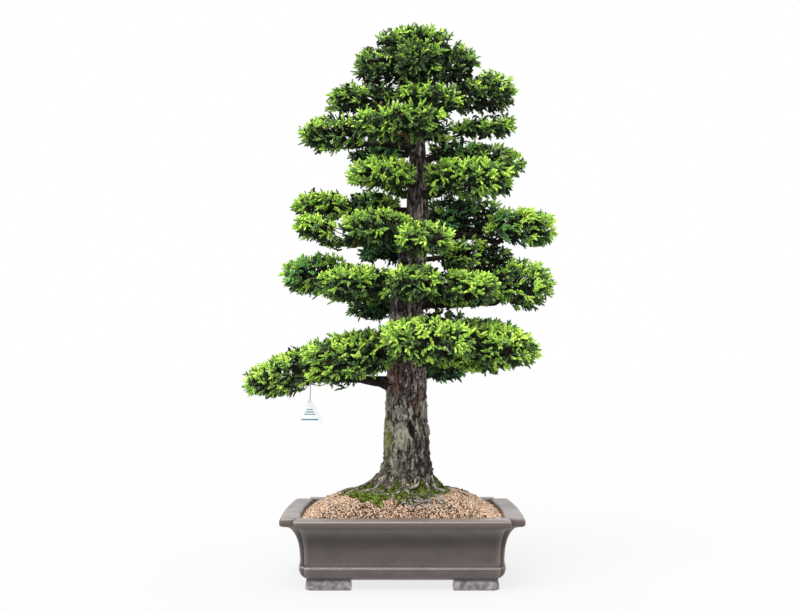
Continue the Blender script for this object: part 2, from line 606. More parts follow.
def ground(tree, x, y):
    """Height of the soil or of the trunk's foot at a place, or None outside the rim and inside the trunk."""
    if math.hypot(x - FOOT_X, y) < 0.040:
        return None
    hit = tree.ray_cast(Vector((x, y, 0.3)), Vector((0.0, 0.0, -1.0)), 0.3)[0]
    return None if hit is None else hit.z


def mossiness(x, y):
    """How mossy the soil is, 0 to 1: round the foot of the trunk, most of all at the front and left."""
    away_x, away_y = x - FOOT_X + 0.014, y + 0.025
    reach = np.hypot(away_x / 0.094, away_y / 0.060)
    edge = 1.0 - reach + 0.40 * flat_noise(x, y, 0.020, 3.3)
    return smoothstep(edge, -0.04, 0.10)


CHIP = np.array([(1, 0, 0), (-1, 0, 0), (0, 1, 0), (0, -1, 0), (0, 0, 1), (0, 0, -1)], float)
CHIP_FACES = np.array([f for a, b in ((0, 2), (2, 1), (1, 3), (3, 0)) for f in ((a, b, 4), (b, a, 5))])


def random_frames(count):
    q = unit(rng.normal(size=(count, 4)))
    w, x, y, z = q.T
    return np.stack([
        np.stack([1 - 2 * (y * y + z * z), 2 * (x * y - z * w), 2 * (x * z + y * w)], -1),
        np.stack([2 * (x * y + z * w), 1 - 2 * (x * x + z * z), 2 * (y * z - x * w)], -1),
        np.stack([2 * (x * z - y * w), 2 * (y * z + x * w), 1 - 2 * (x * x + y * y)], -1)], 1)


def dealt(name, points, faces, shares, materials):
    """Small forms that are alike, (n, points, 3), as one piece for each share and its material."""
    step = points.shape[1]
    return [mesh_object(f"{name}_{k + 1}", points[mine], copies(faces, mine.sum(), step), material, False)
            for k, (mine, material) in enumerate(zip(shares, materials))]


def make_stones(tree, materials, weights):
    """Loose granules all over the soil, dealt out to a few colours."""
    places = []
    while len(places) < GRANULES:
        x, y = rng.uniform(-SOIL_X, SOIL_X), rng.uniform(-SOIL_Y, SOIL_Y)
        z = ground(tree, x, y)
        if z is None:
            continue
        bare = z > SOIL_TOP + 0.0005 or mossiness(np.array(x), np.array(y)) > rng.uniform(0.25, 0.95)
        if bare and rng.random() > 0.07:
            continue
        places.append((x, y, z))
    places = np.array(places)
    size = rng.uniform(*GRANULE, GRANULES) * np.where(rng.random(GRANULES) < 0.05, 1.35, 1.0)
    places[:, 2] += size * rng.uniform(-0.8, 0.6, GRANULES)
    stretch = rng.uniform(0.75, 1.20, (GRANULES, 1, 3))
    lumps = 1 + 0.17 * rng.normal(size=(GRANULES, len(CHIP), 1))
    local = CHIP[None] * lumps * stretch * size[:, None, None]
    points = np.einsum("nij,nkj->nki", random_frames(GRANULES), local) + places[:, None]
    kind = rng.choice(len(materials), GRANULES, p=weights)
    return dealt("stones", points, CHIP_FACES, [kind == k for k in range(len(materials))], materials)


def make_litter(tree, materials):
    """Dead twigs that lie on the soil: most along the front of the moss, the rest anywhere."""
    spots = np.concatenate([rng.normal(LITTER[:2], LITTER[2:], (110, 2)),
                            rng.uniform((-0.14, -0.10), (0.14, 0.09), (60, 2)),
                            rng.normal((0.10, 0.045), (0.012, 0.010), (20, 2))])
    count = len(spots)
    turn = rng.uniform(0, math.tau, count)
    half = rng.uniform(0.003, 0.011, count)[:, None] * np.stack([np.cos(turn), np.sin(turn)], -1)
    t = np.linspace(-1, 1, 5)
    flat = spots[:, None] + half[:, None] * t[:, None] + rng.normal(0, 0.0008, (count, 5, 2))
    level = np.array([[ground(tree, x, y) or SOIL_EDGE for x, y in line] for line in flat])
    level = level.mean(1, keepdims=True) * 0.5 + level * 0.5 + 0.0016 + rng.normal(0, 0.0009, (count, 5))
    paths = np.concatenate([flat, level[..., None]], -1)
    radii = rng.uniform(0.0005, 0.0011, (count, 1)) * np.array([1.0, 0.95, 0.85, 0.7, 0.4])
    near = (np.abs(flat) < (WALL_X - 0.006, WALL_Y - 0.006)).all((1, 2))
    pieces = []
    for k, material in enumerate(materials):
        mine = near & (np.arange(count) % len(materials) == k)
        pieces.append(tubes(f"dead_twigs_{k + 1}", paths[mine], radii[mine], 4, material))
    return pieces


def make_moss(tree, materials):
    """Short upright blades in cushions, in greens that follow the cushions."""
    x, y = rng.uniform(-0.105, 0.095, MOSS_TRIED), rng.uniform(-0.100, 0.070, MOSS_TRIED)
    keep = mossiness(x, y) > rng.uniform(0.15, 1.0, len(x))
    keep &= rng.random(len(x)) < np.where(y < 0.01, 1.0, 0.65)
    keep &= flat_noise(x, y, 0.008, 21.0) < 0.24
    x, y = x[keep][:MOSS_MOST], y[keep][:MOSS_MOST]
    z = np.array([ground(tree, a, b) or 0.0 for a, b in zip(x, y)])
    keep = (z > 0.1) & (z < COLLAR - 0.012 + 0.016 * noise(np.stack([x, y, z], -1) / 0.018))
    x, y, z = picked(keep, x, y, z)
    cushion = 0.0036 * np.clip(flat_noise(x, y, 0.010, 9.1) + 0.40, 0.0, 1.0)
    base = np.stack([x, y, z + cushion - 0.0010], -1)
    lean = np.stack([rng.normal(0, 0.55, len(x)), rng.normal(0, 0.55, len(x)), np.ones(len(x))], -1)
    way = unit(lean) * rng.uniform(0.0022, 0.0040, (len(x), 1))
    side = unit(np.cross(way, rng.normal(size=(len(x), 3)))) * MOSS_WIDTH
    bend = unit(rng.normal(size=(len(x), 3))) * 0.0004
    points = np.stack([base - side, base + side, base + way * 0.6 + side * 0.9 + bend,
                       base + way * 0.6 - side * 0.9 + bend, base + way], 1)
    faces = np.array([[0, 1, 2], [0, 2, 3], [3, 2, 4]])
    shade = noise(base / 0.006) + 0.35 * noise(base / 0.03) + rng.normal(0, 0.14, len(x))
    shares = [(shade >= low) & (shade < high) for low, high in zip(MOSS_EDGES, MOSS_EDGES[1:])]
    return dealt("moss", points, faces, shares, materials)


# ---- trunk, roots and boughs ----

def trunk_axis(z):
    z = np.asarray(z, float)
    t = (z - TRUNK_FOOT) / (TRUNK_TIP - TRUNK_FOOT)
    return np.stack([FOOT_X + LEAN * smoothstep(z, LEAN_FROM, LEAN_TO), SWAY * np.sin(3 * np.pi * t), z], -1)


def trunk_radius(z, bearing=None):
    z = np.asarray(z, float)
    left = np.maximum(1 - (z - TRUNK_FOOT) / (TAPER_END - TRUNK_FOOT), 0.0)
    rise = np.maximum(z - TRUNK_FOOT, 0.0)
    radius = TRUNK_RADIUS * left ** TAPER_POWER + FLARE * np.exp(-rise / FLARE_HEIGHT)
    if bearing is None:
        return radius
    radius = radius * (1 + FLUTE_DEPTH * np.cos(BARK_FLUTES * bearing + 4 * z))
    for angle, reach in ROOTS:
        turn = (np.degrees(bearing) - angle + 180) % 360 - 180
        radius = radius + reach * np.exp(-((turn / ROOT_SPREAD) ** 2) - rise / ROOT_FADE)
    return radius


def trunk_grid(heights, sides):
    """Height, bearing, way out, axis and radius at each point of the trunk's skin, in rings."""
    z, b = np.meshgrid(heights, bearings(sides), indexing="ij")
    return z, b, np.stack([np.cos(b), np.sin(b), 0 * b], -1), trunk_axis(z), trunk_radius(z, b)


def bark_relief(points, size=1.0):
    """Height of the bark, 0 in a fissure to about 1 on a flake: strips that overlap, fork and fray."""
    def drift(scale, *shifts):
        return np.stack([noise(points / scale + shift) for shift in shifts] + [0 * points[..., 2]], -1)

    sway, fray = drift((0.030 * size, 0.030 * size, 0.045 * size), 0.0, 40.0), drift(0.0050 * size, 70.0, 90.0)
    moved = points + size * (0.012 * sway + 0.0028 * fray)
    height, cracks = 0.16, 0.0
    for wide, tall, lift, gap, shift in (
            (0.0086, 0.034, 0.30, 0.055, 5.0), (0.0056, 0.019, 0.26, 0.075, 11.0),
            (0.0034, 0.012, 0.20, 0.090, 23.0)):
        strip = noise(moved / (wide * size, wide * size, tall * size) + shift)
        height = height + lift * smoothstep(strip, -0.04, 0.04)
        cracks = np.maximum(cracks, (0.30 + lift) * (1 - smoothstep(np.abs(strip), 0.0, gap)))
    fibres = noise(moved / (0.0016 * size, 0.0016 * size, 0.008 * size) + 51.0)
    return np.clip(height - 0.75 * cracks + 0.40 * fibres, 0.0, 1.1)


def make_trunk(material):
    heights = np.concatenate([np.linspace(TRUNK_FOOT, 0.200, 46)[:-1], np.linspace(0.200, 0.400, 126)[:-1],
                              np.linspace(0.400, 0.620, 90)[:-1], np.linspace(0.620, TRUNK_TIP, 70)])
    z, b, way, axis, radius = trunk_grid(heights, TRUNK_SIDES)
    skin = axis + way * radius[..., None]
    relief = bark_relief(np.stack([skin[..., 0], skin[..., 1], z], -1))
    depth = TRUNK_BARK * np.clip(radius / 0.036, 0.22, 1.05)
    hollow, bulge, rings = trunk_knot(skin)
    relief = relief * (1 - 0.70 * bulge) + bulge * (0.30 + 0.30 * rings)
    offset = depth * (relief - 0.55) - 0.0050 * hollow + 0.0012 * bulge
    buttress = 0.0016 * noise(skin / (0.05, 0.05, 0.20) + 60.0)
    points = axis + way * (radius + offset + buttress)[..., None]
    points[0, :, 2] = TRUNK_FOOT - 0.004
    trunk = mesh_object("trunk_bark", points, ring_faces(len(heights), TRUNK_SIDES), material)
    close_ends(trunk, TRUNK_SIDES, False)
    low = smoothstep(COLLAR - z, 0.0, 0.034)
    patch = noise(skin / 0.022 + 31.0)
    left = smoothstep(-np.cos(b - math.radians(35)), -0.35, 0.55)
    lichen = left * smoothstep(z, 0.155, 0.19) * (1 - smoothstep(z, 0.265, 0.33))
    front = smoothstep(-np.sin(b), 0.0, 0.8)
    rust = smoothstep(noise(skin / (0.014, 0.014, 0.028) + 77.0), 0.10, 0.30)
    rust = rust * (0.15 + 0.85 * front * smoothstep(z, 0.24, 0.28)) * (1 - smoothstep(z, 0.33, 0.40))
    gold = np.exp(-((skin[..., 0] + 0.024) / 0.006) ** 2 - ((z - 0.232) / 0.026) ** 2) * (skin[..., 1] < 0)
    for name, share in (
            ("relief", np.clip(relief - 0.9 * hollow, 0.0, 1.2)),
            ("moss", low * smoothstep(patch + 0.5 * low, 0.22, 0.52)),
            ("lichen", np.clip(lichen * (0.55 + 0.9 * patch) + 0.35 * bulge, 0, 1)),
            ("gold", gold), ("rust", rust)):
        set_attribute(trunk, name, share)
    return trunk


def trunk_knot(skin):
    """(hollow, healed bulge, its rings) of the old scar on the front of the trunk."""
    facing = skin[..., 1] < 0
    up = (skin[..., 2] - 0.247) / 0.020
    across = (skin[..., 0] - 0.0145 + 0.0075 * up) / (0.0042 + 0.0012 * np.cos(3 * up))
    hollow = np.exp(-np.hypot(across, up) ** 3) * facing
    up = (skin[..., 2] - 0.236) / 0.026
    across = (skin[..., 0] + 0.0015 + 0.003 * up) / 0.0125
    reach = np.hypot(across, up)
    bulge = (1 - smoothstep(reach, 0.55, 1.15)) * facing
    return hollow, bulge, 0.5 + 0.5 * np.cos(15 * reach + 4.5 * noise(skin / 0.013))


def make_limb(name, path, radii, sides, depth, seed, material):
    """A round limb with bark on it."""
    side, other = normals_along(path)
    angle = bearings(sides)
    way = side[:, None] * np.cos(angle)[:, None] + other[:, None] * np.sin(angle)[:, None]
    length = np.concatenate([[0], np.cumsum(np.linalg.norm(np.diff(path, axis=0), axis=1))])
    flat = np.stack(np.broadcast_arrays(np.cos(angle) * radii[:, None], np.sin(angle) * radii[:, None],
                                        length[:, None]), -1) + seed
    relief = bark_relief(flat, 0.55)
    lump = 1 + 0.10 * noise(flat / 0.014)
    skin = path[:, None] + way * (radii[:, None] * lump + depth[:, None] * (relief - 0.6))[..., None]
    limb = mesh_object(name, skin, ring_faces(len(path), sides), material)
    set_attribute(limb, "relief", relief)
    return limb


def make_boughs(material):
    """Each bough, its stem beyond the mass's border and a wide collar at the trunk, as one skin."""
    pieces = []
    for index, mass in enumerate(m for m in MASSES if len(m) > 4):
        path, radii = bough_path(mass)
        _, end = stem_path(mass)
        path = np.vstack([path, (path[-1] + end[0]) / 2, end[0]])
        radii = np.append(radii, [radii[-1] * 0.85, end[1]])
        line = catmull(path, LIMB_STEPS)
        thick = np.interp(np.linspace(0, len(radii) - 1, LIMB_STEPS), np.arange(len(radii)), radii)
        away = np.linalg.norm(line - path[0], axis=1)
        collar = float(trunk_radius(path[0][2]))
        thick = thick + 0.55 * radii[0] * np.exp(-np.maximum(away - 0.8 * collar, 0) / 0.012)
        depth = LIMB_BARK * np.clip(thick / 0.008, 0.3, 1.2)
        pieces.append(make_limb("limb_" + mass[0], line, thick, LIMB_SIDES, depth, 3.1 * index, material))
    return pieces


# where each surface root runs: (x, y, height above the soil) and its first radius
ROOT_LINES = (
    ((0.030, -0.024, 0.0015), (0.020, -0.048, 0.0015), (-0.004, -0.060, 0.0010), (-0.020, -0.078, -0.0010),
     (-0.030, -0.088, -0.0050), 0.0050),
    ((-0.026, -0.022, 0.0015), (-0.046, -0.030, 0.0012), (-0.066, -0.034, 0.0010), (-0.088, -0.030, 0.0000),
     (-0.104, -0.036, -0.0050), 0.0052),
    ((-0.016, -0.034, 0.0015), (-0.030, -0.048, 0.0012), (-0.050, -0.054, 0.0010), (-0.068, -0.052, 0.0000),
     (-0.080, -0.060, -0.0040), 0.0040),
    ((0.006, -0.036, 0.0015), (0.002, -0.052, 0.0010), (0.012, -0.066, 0.0010), (0.030, -0.078, 0.0000),
     (0.044, -0.084, -0.0040), 0.0036),
    ((0.036, -0.016, 0.0015), (0.050, -0.022, 0.0015), (0.062, -0.028, 0.0015), (0.076, -0.030, 0.0000),
     (0.088, -0.036, -0.0050), 0.0060),
    ((0.030, -0.030, 0.0015), (0.042, -0.046, 0.0010), (0.044, -0.062, 0.0000), (0.060, -0.068, -0.0010),
     (0.070, -0.076, -0.0050), 0.0034),
    ((-0.030, -0.010, 0.0015), (-0.056, -0.006, 0.0012), (-0.080, 0.004, 0.0010), (-0.100, 0.006, 0.0000),
     (-0.116, 0.014, -0.0050), 0.0048),
    ((0.036, 0.014, 0.0015), (0.054, 0.024, 0.0012), (0.068, 0.026, 0.0010), (0.082, 0.036, 0.0000),
     (0.092, 0.040, -0.0050), 0.0046),
    ((-0.026, 0.024, 0.0015), (-0.044, 0.040, 0.0012), (-0.064, 0.046, 0.0010), (-0.080, 0.056, 0.0000),
     (-0.092, 0.058, -0.0050), 0.0044),
    ((0.006, 0.036, 0.0015), (0.012, 0.054, 0.0012), (0.002, 0.070, 0.0010), (0.006, 0.084, 0.0000),
     (0.000, 0.094, -0.0050), 0.0044),
    ((-0.036, -0.062, 0.0000), (-0.024, -0.066, 0.0010), (-0.008, -0.080, 0.0010), (0.004, -0.086, 0.0000),
     (0.014, -0.092, -0.0030), 0.0024),
    ((0.020, -0.070, 0.0000), (0.028, -0.066, 0.0010), (0.040, -0.074, 0.0010), (0.052, -0.090, 0.0000),
     (0.058, -0.094, -0.0030), 0.0026))


def make_roots(tree, material):
    """Pale surface roots that leave the flare, run over the mossy ground and sink into the soil."""
    pieces = []
    for index, (*corners, thick) in enumerate(ROOT_LINES):
        line = catmull(corners, ROOT_STEPS)
        line[:, :2] += 0.005 * np.stack([noise(line / 0.020 + 3.7 * index),
                                         noise(line / 0.020 + 9 + index)], -1)
        share = np.linspace(0, 1, len(line))
        radii = thick * (1.0 - 0.66 * share ** 0.8) * (1 + 0.22 * noise(line / 0.008 + 5.5 * index))
        level = np.array([ground(tree, x, y) or SOIL_EDGE for x, y in line[:, :2]])
        line[:, 2] += level + radii * 0.45 + 0.0016 * noise(line / 0.016 + 2.2 * index)
        depth = np.full(ROOT_STEPS, ROOT_BARK)
        pieces.append(make_limb(f"root_{index + 1}", line, radii, ROOT_SIDES, depth, 20 + index, material))
    return pieces


# ---- the masses: spaces and limbs by the source's rule ----

def space_of(mass):
    """Centre and rows of axes (outward, across, up) of a mass's space."""
    name, centre, _, droop = mass[:4]
    centre = np.array(centre) + (TREE_X, 0.0, 0.0)
    away = centre - trunk_axis(min(centre[2], TRUNK_TIP))
    bearing = 0.0 if name == CREST else math.atan2(away[1], away[0])
    droop = math.radians(droop)
    level = np.array([math.cos(bearing), math.sin(bearing), 0.0])
    across = np.array([-level[1], level[0], 0.0])
    outward = level * math.cos(droop) - (0.0, 0.0, math.sin(droop))
    return centre, np.array([outward, across, np.cross(outward, across)])


def in_space(mass, out, side, up):
    centre, axes = space_of(mass)
    return centre + (np.array([out, side, up]) * mass[2]) @ axes


def fullness(mass, points):
    """0 at the centre of a mass's space and 1 on its outside, and the way out at each point."""
    centre, axes = space_of(mass)
    share = (points - centre) @ axes.T / mass[2]
    full = (np.abs(share) ** SQUARENESS).sum(-1) ** (1 / SQUARENESS)
    steep = np.sign(share) * np.abs(share) ** (SQUARENESS - 1) / np.array(mass[2])
    return full, unit(steep @ axes)


def bough_path(mass):
    height, enter_out, enter_up, arch, sway, radius = mass[4]
    start, end = trunk_axis(height), in_space(mass, enter_out, 0.0, enter_up)
    along = end - start
    side = unit(np.array([-along[1], along[0], 0.0])) * sway
    t = np.linspace(0, 1, BOUGH_STEPS)[:, None]
    points = start + along * t + side * np.sin(2 * np.pi * t) + np.array([0, 0, arch]) * np.sin(np.pi * t)
    return points, radius * (BOUGH_ROOT - (BOUGH_ROOT - BOUGH_TIP) * t[:, 0] ** BOUGH_TAPER)


def stem_path(mass):
    """(point, radius) where a mass's stem starts and where it ends."""
    out, up = STEM_END
    if len(mass) > 4:
        path, radii = bough_path(mass)
        radius, start = 0.95 * radii[-1], path[-1] - unit(path[-1] - path[-2]) * STEM_SUNK
        out = max(out, mass[4][1] + 0.15)
    elif mass[0] == CREST:
        out, radius, start = 0.0, 0.0035, trunk_axis(TRUNK_TIP - STEM_SUNK)
    else:
        inner = in_space(mass, out, 0.0, up)
        start = trunk_axis(inner[2] - STEM_RISE * np.linalg.norm(inner - trunk_axis(inner[2])))
        radius = min(STEM_RADIUS, 0.6 * float(trunk_radius(start[2])))
    return (start, radius), (in_space(mass, out, 0.0, up), STEM_TAPER * radius)


def reach_along(mass, root, way, most, goal):
    """How far a twig can go from its root before it would leave the space."""
    steps = np.arange(0.0, most, 0.002)
    full, _ = fullness(mass, root + way * steps[:, None])
    over = np.nonzero(full > goal)[0]
    return steps[over[0]] if len(over) else steps[-1]


def twig_rule(mass):
    """(root, way, length) of the twigs that leave a mass's stem by turns, and of those that rise or hang."""
    _, (outward, across, upward) = space_of(mass)
    twigs = [(0.60, 0.0, outward)]
    for i in range(2 * PAIRS):
        side = 1 if i % 2 else -1
        t = (i + 0.5) / (2 * PAIRS)
        angle = math.radians(140 - 115 * t + rng.uniform(-8, 8))
        twigs.append((0.9 * t - 0.5, side, outward * math.cos(angle) + across * (side * math.sin(angle))))
    made = []
    for along, side, way in twigs:
        way = unit(way + upward * rng.uniform(-0.15, 0.25))
        made.append((in_space(mass, 0.6 * along, 0.12 * side, -0.10), way))
    for along, side, way in twigs[:2 * PAIRS:2] + twigs[-1:]:
        way = unit(upward + way * rng.uniform(0.3, 1.0))
        made.append((in_space(mass, 0.8 * along, 0.20 * side, 0.0), way))
    for along, side, way in twigs[1::2]:
        way = unit(way * rng.uniform(0.6, 1.2) - upward)
        made.append((in_space(mass, 0.8 * along, 0.20 * side, -0.15), way))
    return [(root, way, reach_along(mass, root, way, 0.14, 0.80)) for root, way in made]


def spaced(points, gaps):
    """Indices of the points kept when no two may lie nearer than the gap of the first."""
    tree = tree_of(points)
    free = np.ones(len(points), bool)
    kept = []
    for i in range(len(points)):
        if not free[i]:
            continue
        kept.append(i)
        for _, j, _ in tree.find_range(points[i], gaps[i]):
            free[j] = False
    return np.array(kept, int)


def fullest_other(mass, points):
    """How far out each point lies in the nearest space of another mass: below 1 inside it."""
    others = np.full(len(points), 9.0)
    for other in MASSES:
        if other is not mass and math.dist(other[1], mass[1]) < max(mass[2]) + max(other[2]):
            others = np.minimum(others, fullness(other, points)[0])
    return others


def scattered(mass, count, reach):
    """Random places in and round a mass's space, with their fullness and ways out."""
    centre, axes = space_of(mass)
    points = centre + (rng.uniform(-reach, reach, (count, 3)) * mass[2]) @ axes
    return points, *fullness(mass, points)


def clear_of_trunk(points, least):
    away = np.hypot(*(points - trunk_axis(points[:, 2]))[:, :2].T) - trunk_radius(points[:, 2])
    return (away > least) | (points[:, 2] > TRUNK_TIP)


def in_sky(points):
    """Whether each point would stand in one of the openings that show sky from the front."""
    away = points - CAMERA_PLACE
    across, up = away[:, 0] / away[:, 1], away[:, 2] / away[:, 1]
    inside, spread = np.zeros(len(points), bool), noise(points / 0.012) * 0.5
    for x, z, half_x, half_z in SKY_GAPS:
        middle = np.array([x, 0.0, z]) - CAMERA_PLACE
        reach = np.hypot((across - middle[0] / middle[1]) * middle[1] / half_x,
                         (up - middle[2] / middle[1]) * middle[1] / half_z)
        inside |= reach + spread < 1.0
    return inside


def outline(mass, points, out):
    """Share of its space that a mass fills out to each way: trimmed here, humped up there."""
    tip, top, under = TRIM.get(mass[0], (1.0, 1.0, 1.0))
    along = out @ space_of(mass)[1][0]
    if mass[0] == CREST:
        along = np.abs(along)
    edge = 1.0 + (tip - 1.0) * smoothstep(along, 0.3, 0.9)
    edge += (top - 1.0) * smoothstep(out[:, 2], 0.3, 0.9) + (under - 1.0) * smoothstep(-out[:, 2], 0.3, 0.9)
    if mass[0] in HUMPS:
        middle, wide, more = HUMPS[mass[0]]
        edge += more * np.exp(-((points[:, 0] - middle) / wide) ** 2) * smoothstep(out[:, 2], 0.1, 0.6)
    return edge


def spray_tips(mass):
    """Places of one mass's sprays, their fullness, ways out and how much each shows."""
    points, full, out = scattered(mass, 20000, 1.06)
    others = fullest_other(mass, points)
    inside = (full < others) & ~in_sky(points)
    full = full / outline(mass, points, out)
    edge = REACH - 0.12 * smoothstep(noise(points / 0.024 + 4.0), -0.35, 0.35)
    edge -= 0.05 * smoothstep(-out[:, 2], 0.3, 0.9)
    keep = inside & (full < edge) & (full > 0.50)
    keep &= rng.random(len(points)) < np.where(full > 0.80, 1.0, np.where(full > 0.66, 0.30, 0.10))
    keep &= clear_of_trunk(points, 0.012)
    points, full, out, others = picked(keep, points, full, out, others)
    order = np.argsort(-full + rng.uniform(0, 0.25, len(full)))
    points, full, out, others = picked(order, points, full, out, others)
    shown = smoothstep(others, 1.0, 1.25) * smoothstep(full, 0.70, 0.86)
    kept = spaced(points, SPRAY_GAP * (1.55 - 0.55 * shown))
    points, full, out, shown = picked(kept, points, full, out, shown)
    if mass[0] in CLOTHED:
        count = CLOTHED[mass[0]]
        line = catmull(bough_path(mass)[0], 60)[12:]
        way = unit(np.column_stack([rng.normal(0.2, 0.4, count), rng.uniform(-1.0, -0.5, count),
                                    rng.uniform(-0.35, 0.3, count)]))
        hung = line[rng.integers(0, len(line), count)] + way * rng.uniform(0.018, 0.030, (count, 1))
        points, out = np.vstack([points, hung]), np.vstack([out, way])
        full, shown = np.append(full, np.full(count, 0.80)), np.append(shown, np.ones(count))
    return points, full, out, shown


def hermite(start, end, way_in, way_out, count):
    """Curves (n, count, 3) from starts to ends that leave and arrive along the given ways."""
    t = np.linspace(0, 1, count)[None, :, None]
    reach = np.linalg.norm(end - start, axis=-1, keepdims=True)[:, None]
    a, b = start[:, None], end[:, None]
    m, n = way_in[:, None] * reach, way_out[:, None] * reach
    return ((2 * t ** 3 - 3 * t ** 2 + 1) * a + (t ** 3 - 2 * t ** 2 + t) * m
            + (-2 * t ** 3 + 3 * t ** 2) * b + (t ** 3 - t ** 2) * n)


def twig(start, end, way_in, way_out, pull, count, swing):
    """One such curve that swings a little aside half way."""
    curve = hermite(start[None], end[None], unit(way_in)[None] * pull, unit(way_out)[None] * pull, count)[0]
    return curve + swing * np.sin(np.linspace(0, np.pi, count))[:, None] * rng.normal(size=3)


def coolness(name, points):
    """Above 0.5 where the needles are of the cooler green, below -0.12 where the dark ones are old."""
    return COOL.get(name, USUAL_COOL) + 0.5 * noise(points / 0.05 + 13.0)


def grow_mass(mass, wood, sprays, inner):
    """Adds a mass's twigs to wood, as (paths, radii) by kind, and its outer and inner sprays to those lists."""
    name, carried = mass[0], len(mass) > 4
    tier = name.split("_")[0]
    (start, wide), (end, narrow) = stem_path(mass)
    centre, (outward, _, upward) = space_of(mass)
    leader = in_space(mass, 0.62, 0.0, 0.0)
    middle = (end + leader) / 2 - upward * 0.08 * mass[2][2]
    line = [] if carried else [start, (start + end) / 2 + 1e-5]
    line = catmull(line + [end, middle, leader], STEM_STEPS)
    thick = np.interp(np.linspace(0, 1, STEM_STEPS), [0, 0.5, 1],
                      [narrow if carried else wide, narrow * 0.8, 0.0012])
    wood["stem"].append((line[None], thick[None]))
    nodes, radii = [line], [thick]
    for root, way, length in twig_rule(mass):
        near = int(np.argmin(np.linalg.norm(line - root, axis=1)))
        tip = root + way * length
        curve = twig(line[near], tip, way + 0.6 * outward, way + 0.25 * upward, 0.7, TWIG_STEPS, 0.0035)
        width = np.linspace(min(0.0028, 0.7 * thick[near]), 0.0009, TWIG_STEPS)
        wood["twig"].append((curve[None], width[None]))
        nodes.append(curve)
        radii.append(width)
    nodes, radii = np.vstack(nodes), np.concatenate(radii)
    tips, full, out, shown = spray_tips(mass)
    count = len(tips)
    level = unit((tips - trunk_axis(np.minimum(tips[:, 2], TRUNK_TIP))) * (1, 1, 0) + 1e-9)
    droop = smoothstep(-out[:, 2:], 0.15, 0.8)
    lift = 0.35 if name != CREST else 0.9
    ways = unit(out * (0.95 - 0.25 * droop) + level * (0.45 + 0.35 * droop)
                + np.array([0.0, 0.0, 1.0]) * (lift * (1 - droop)) + rng.normal(0, 0.30, (count, 3)))
    length = SPRAY_LENGTH * rng.uniform(0.78, 1.15, count) * SPRAY_GROWTH.get(tier, 1.0)
    bases = tips - ways * length[:, None]
    hubs = spaced(tips, np.full(count, HUB_GAP))
    places = centre + (tips[hubs] - centre) * rng.uniform(0.60, 0.74, (len(hubs), 1))
    tree = tree_of(nodes)
    for place in places[np.argsort(np.linalg.norm(places - centre, axis=1))]:
        spot, i, gap = tree.find(place)
        if gap < 0.008:
            continue
        spot = np.array(spot)
        curve = twig(spot, place, place - spot + 0.3 * gap * outward, place - centre, 0.8,
                     BRANCHLET_STEPS, 0.002)
        width = np.linspace(min(0.0014, radii[i]), 0.0008, BRANCHLET_STEPS)
        wood["branchlet"].append((curve[None], width[None]))
        nodes, radii = np.vstack([nodes, curve[2:]]), np.concatenate([radii, width[2:]])
    tree = tree_of(nodes)
    found = [tree.find(place)[:2] for place in bases - ways * 0.010]
    spots = np.array([tuple(spot) for spot, _ in found])
    curves = hermite(spots, bases, unit(bases - spots) * 0.8, ways * 0.9, 3)
    widths = np.minimum(radii[[i for _, i in found]], 0.0009)[:, None] * np.array([1.0, 0.85, 0.7])
    wood["shoot"].append((curves, widths))
    light = LIGHTER.get(name, LIGHT[tier])
    depth = smoothstep(0.90 - full, 0.0, 0.25)
    shade = rng.uniform(0.08, 0.36, count) + 0.12 * out[:, 2] - 0.20 * depth
    chance = 1.15 * light + 0.30 * out[:, 2] + 0.75 * noise(tips / 0.026) - 0.8 * depth - 0.2 * (1 - shown)
    fresh = np.where(rng.random(count) < chance, rng.uniform(0.34, 0.95, count),
                     rng.uniform(0.0, 0.26, count))
    fresh *= 0.66 + 0.5 * light
    rows = np.column_stack([bases, ways, length, shade, fresh, coolness(name, tips)])
    seen = shown > 0.22
    sprays.append(rows[seen])
    rows[~seen, :3] -= 0.008 * rows[~seen, 3:6]
    rows[~seen, 8] = 0.0
    inner.append(rows[~seen])
    places, way = inner_places(mass)
    count = len(way)
    length, shade = rng.uniform(*INNER_LENGTH, count), rng.uniform(-0.2, 0.16, count)
    inner.append(np.column_stack([places, way, length, shade, np.zeros(count), coolness(name, places)]))


def inner_places(mass):
    """Places and ways of the dark growth in the middle of a mass."""
    points, full, out = scattered(mass, 5000, 0.9)
    edge = outline(mass, points, out)
    keep = (full > 0.25) & (full < 0.76 * edge) & (full < fullest_other(mass, points))
    keep &= ~in_sky(points) & clear_of_trunk(points, 0.014)
    points, out, edge = picked(keep, points, out, edge)
    points, out, edge = picked(spaced(points, np.full(len(points), INNER_GAP)), points, out, edge)
    way = unit(out * rng.uniform(-0.6, 0.6, (len(out), 1)) + rng.normal(0, 0.7, out.shape))
    outside = fullness(mass, points + way * INNER_LENGTH[1])[0] > 0.84 * edge
    way[outside] -= 2.0 * out[outside] * np.maximum((way * out).sum(1)[outside, None], 0.0)
    return points, way


# ---- needles ----

# the fingers of a spray: (share along the spray where it starts, angle to it in degrees, length as a share,
# how much of the spray's youth it shows)
FINGERS = ((0.00, 0, 1.00, 1.00), (0.08, 60, 0.62, 0.70), (0.18, -58, 0.62, 0.75), (0.38, 48, 0.56, 0.90),
           (0.48, -46, 0.52, 0.90))
FANS = ((0.00, 0, 1.0, 0.0), (0.10, 60, 0.85, 0.0), (0.15, -60, 0.85, 0.0))
GOLDEN = math.pi * (3 - math.sqrt(5))
MIDWAY = 0.42  # where the lower and the upper half of a finger's body meet
COOL_KIND, OLD_KIND = 100, 200  # kinds of colour beyond the plain greens


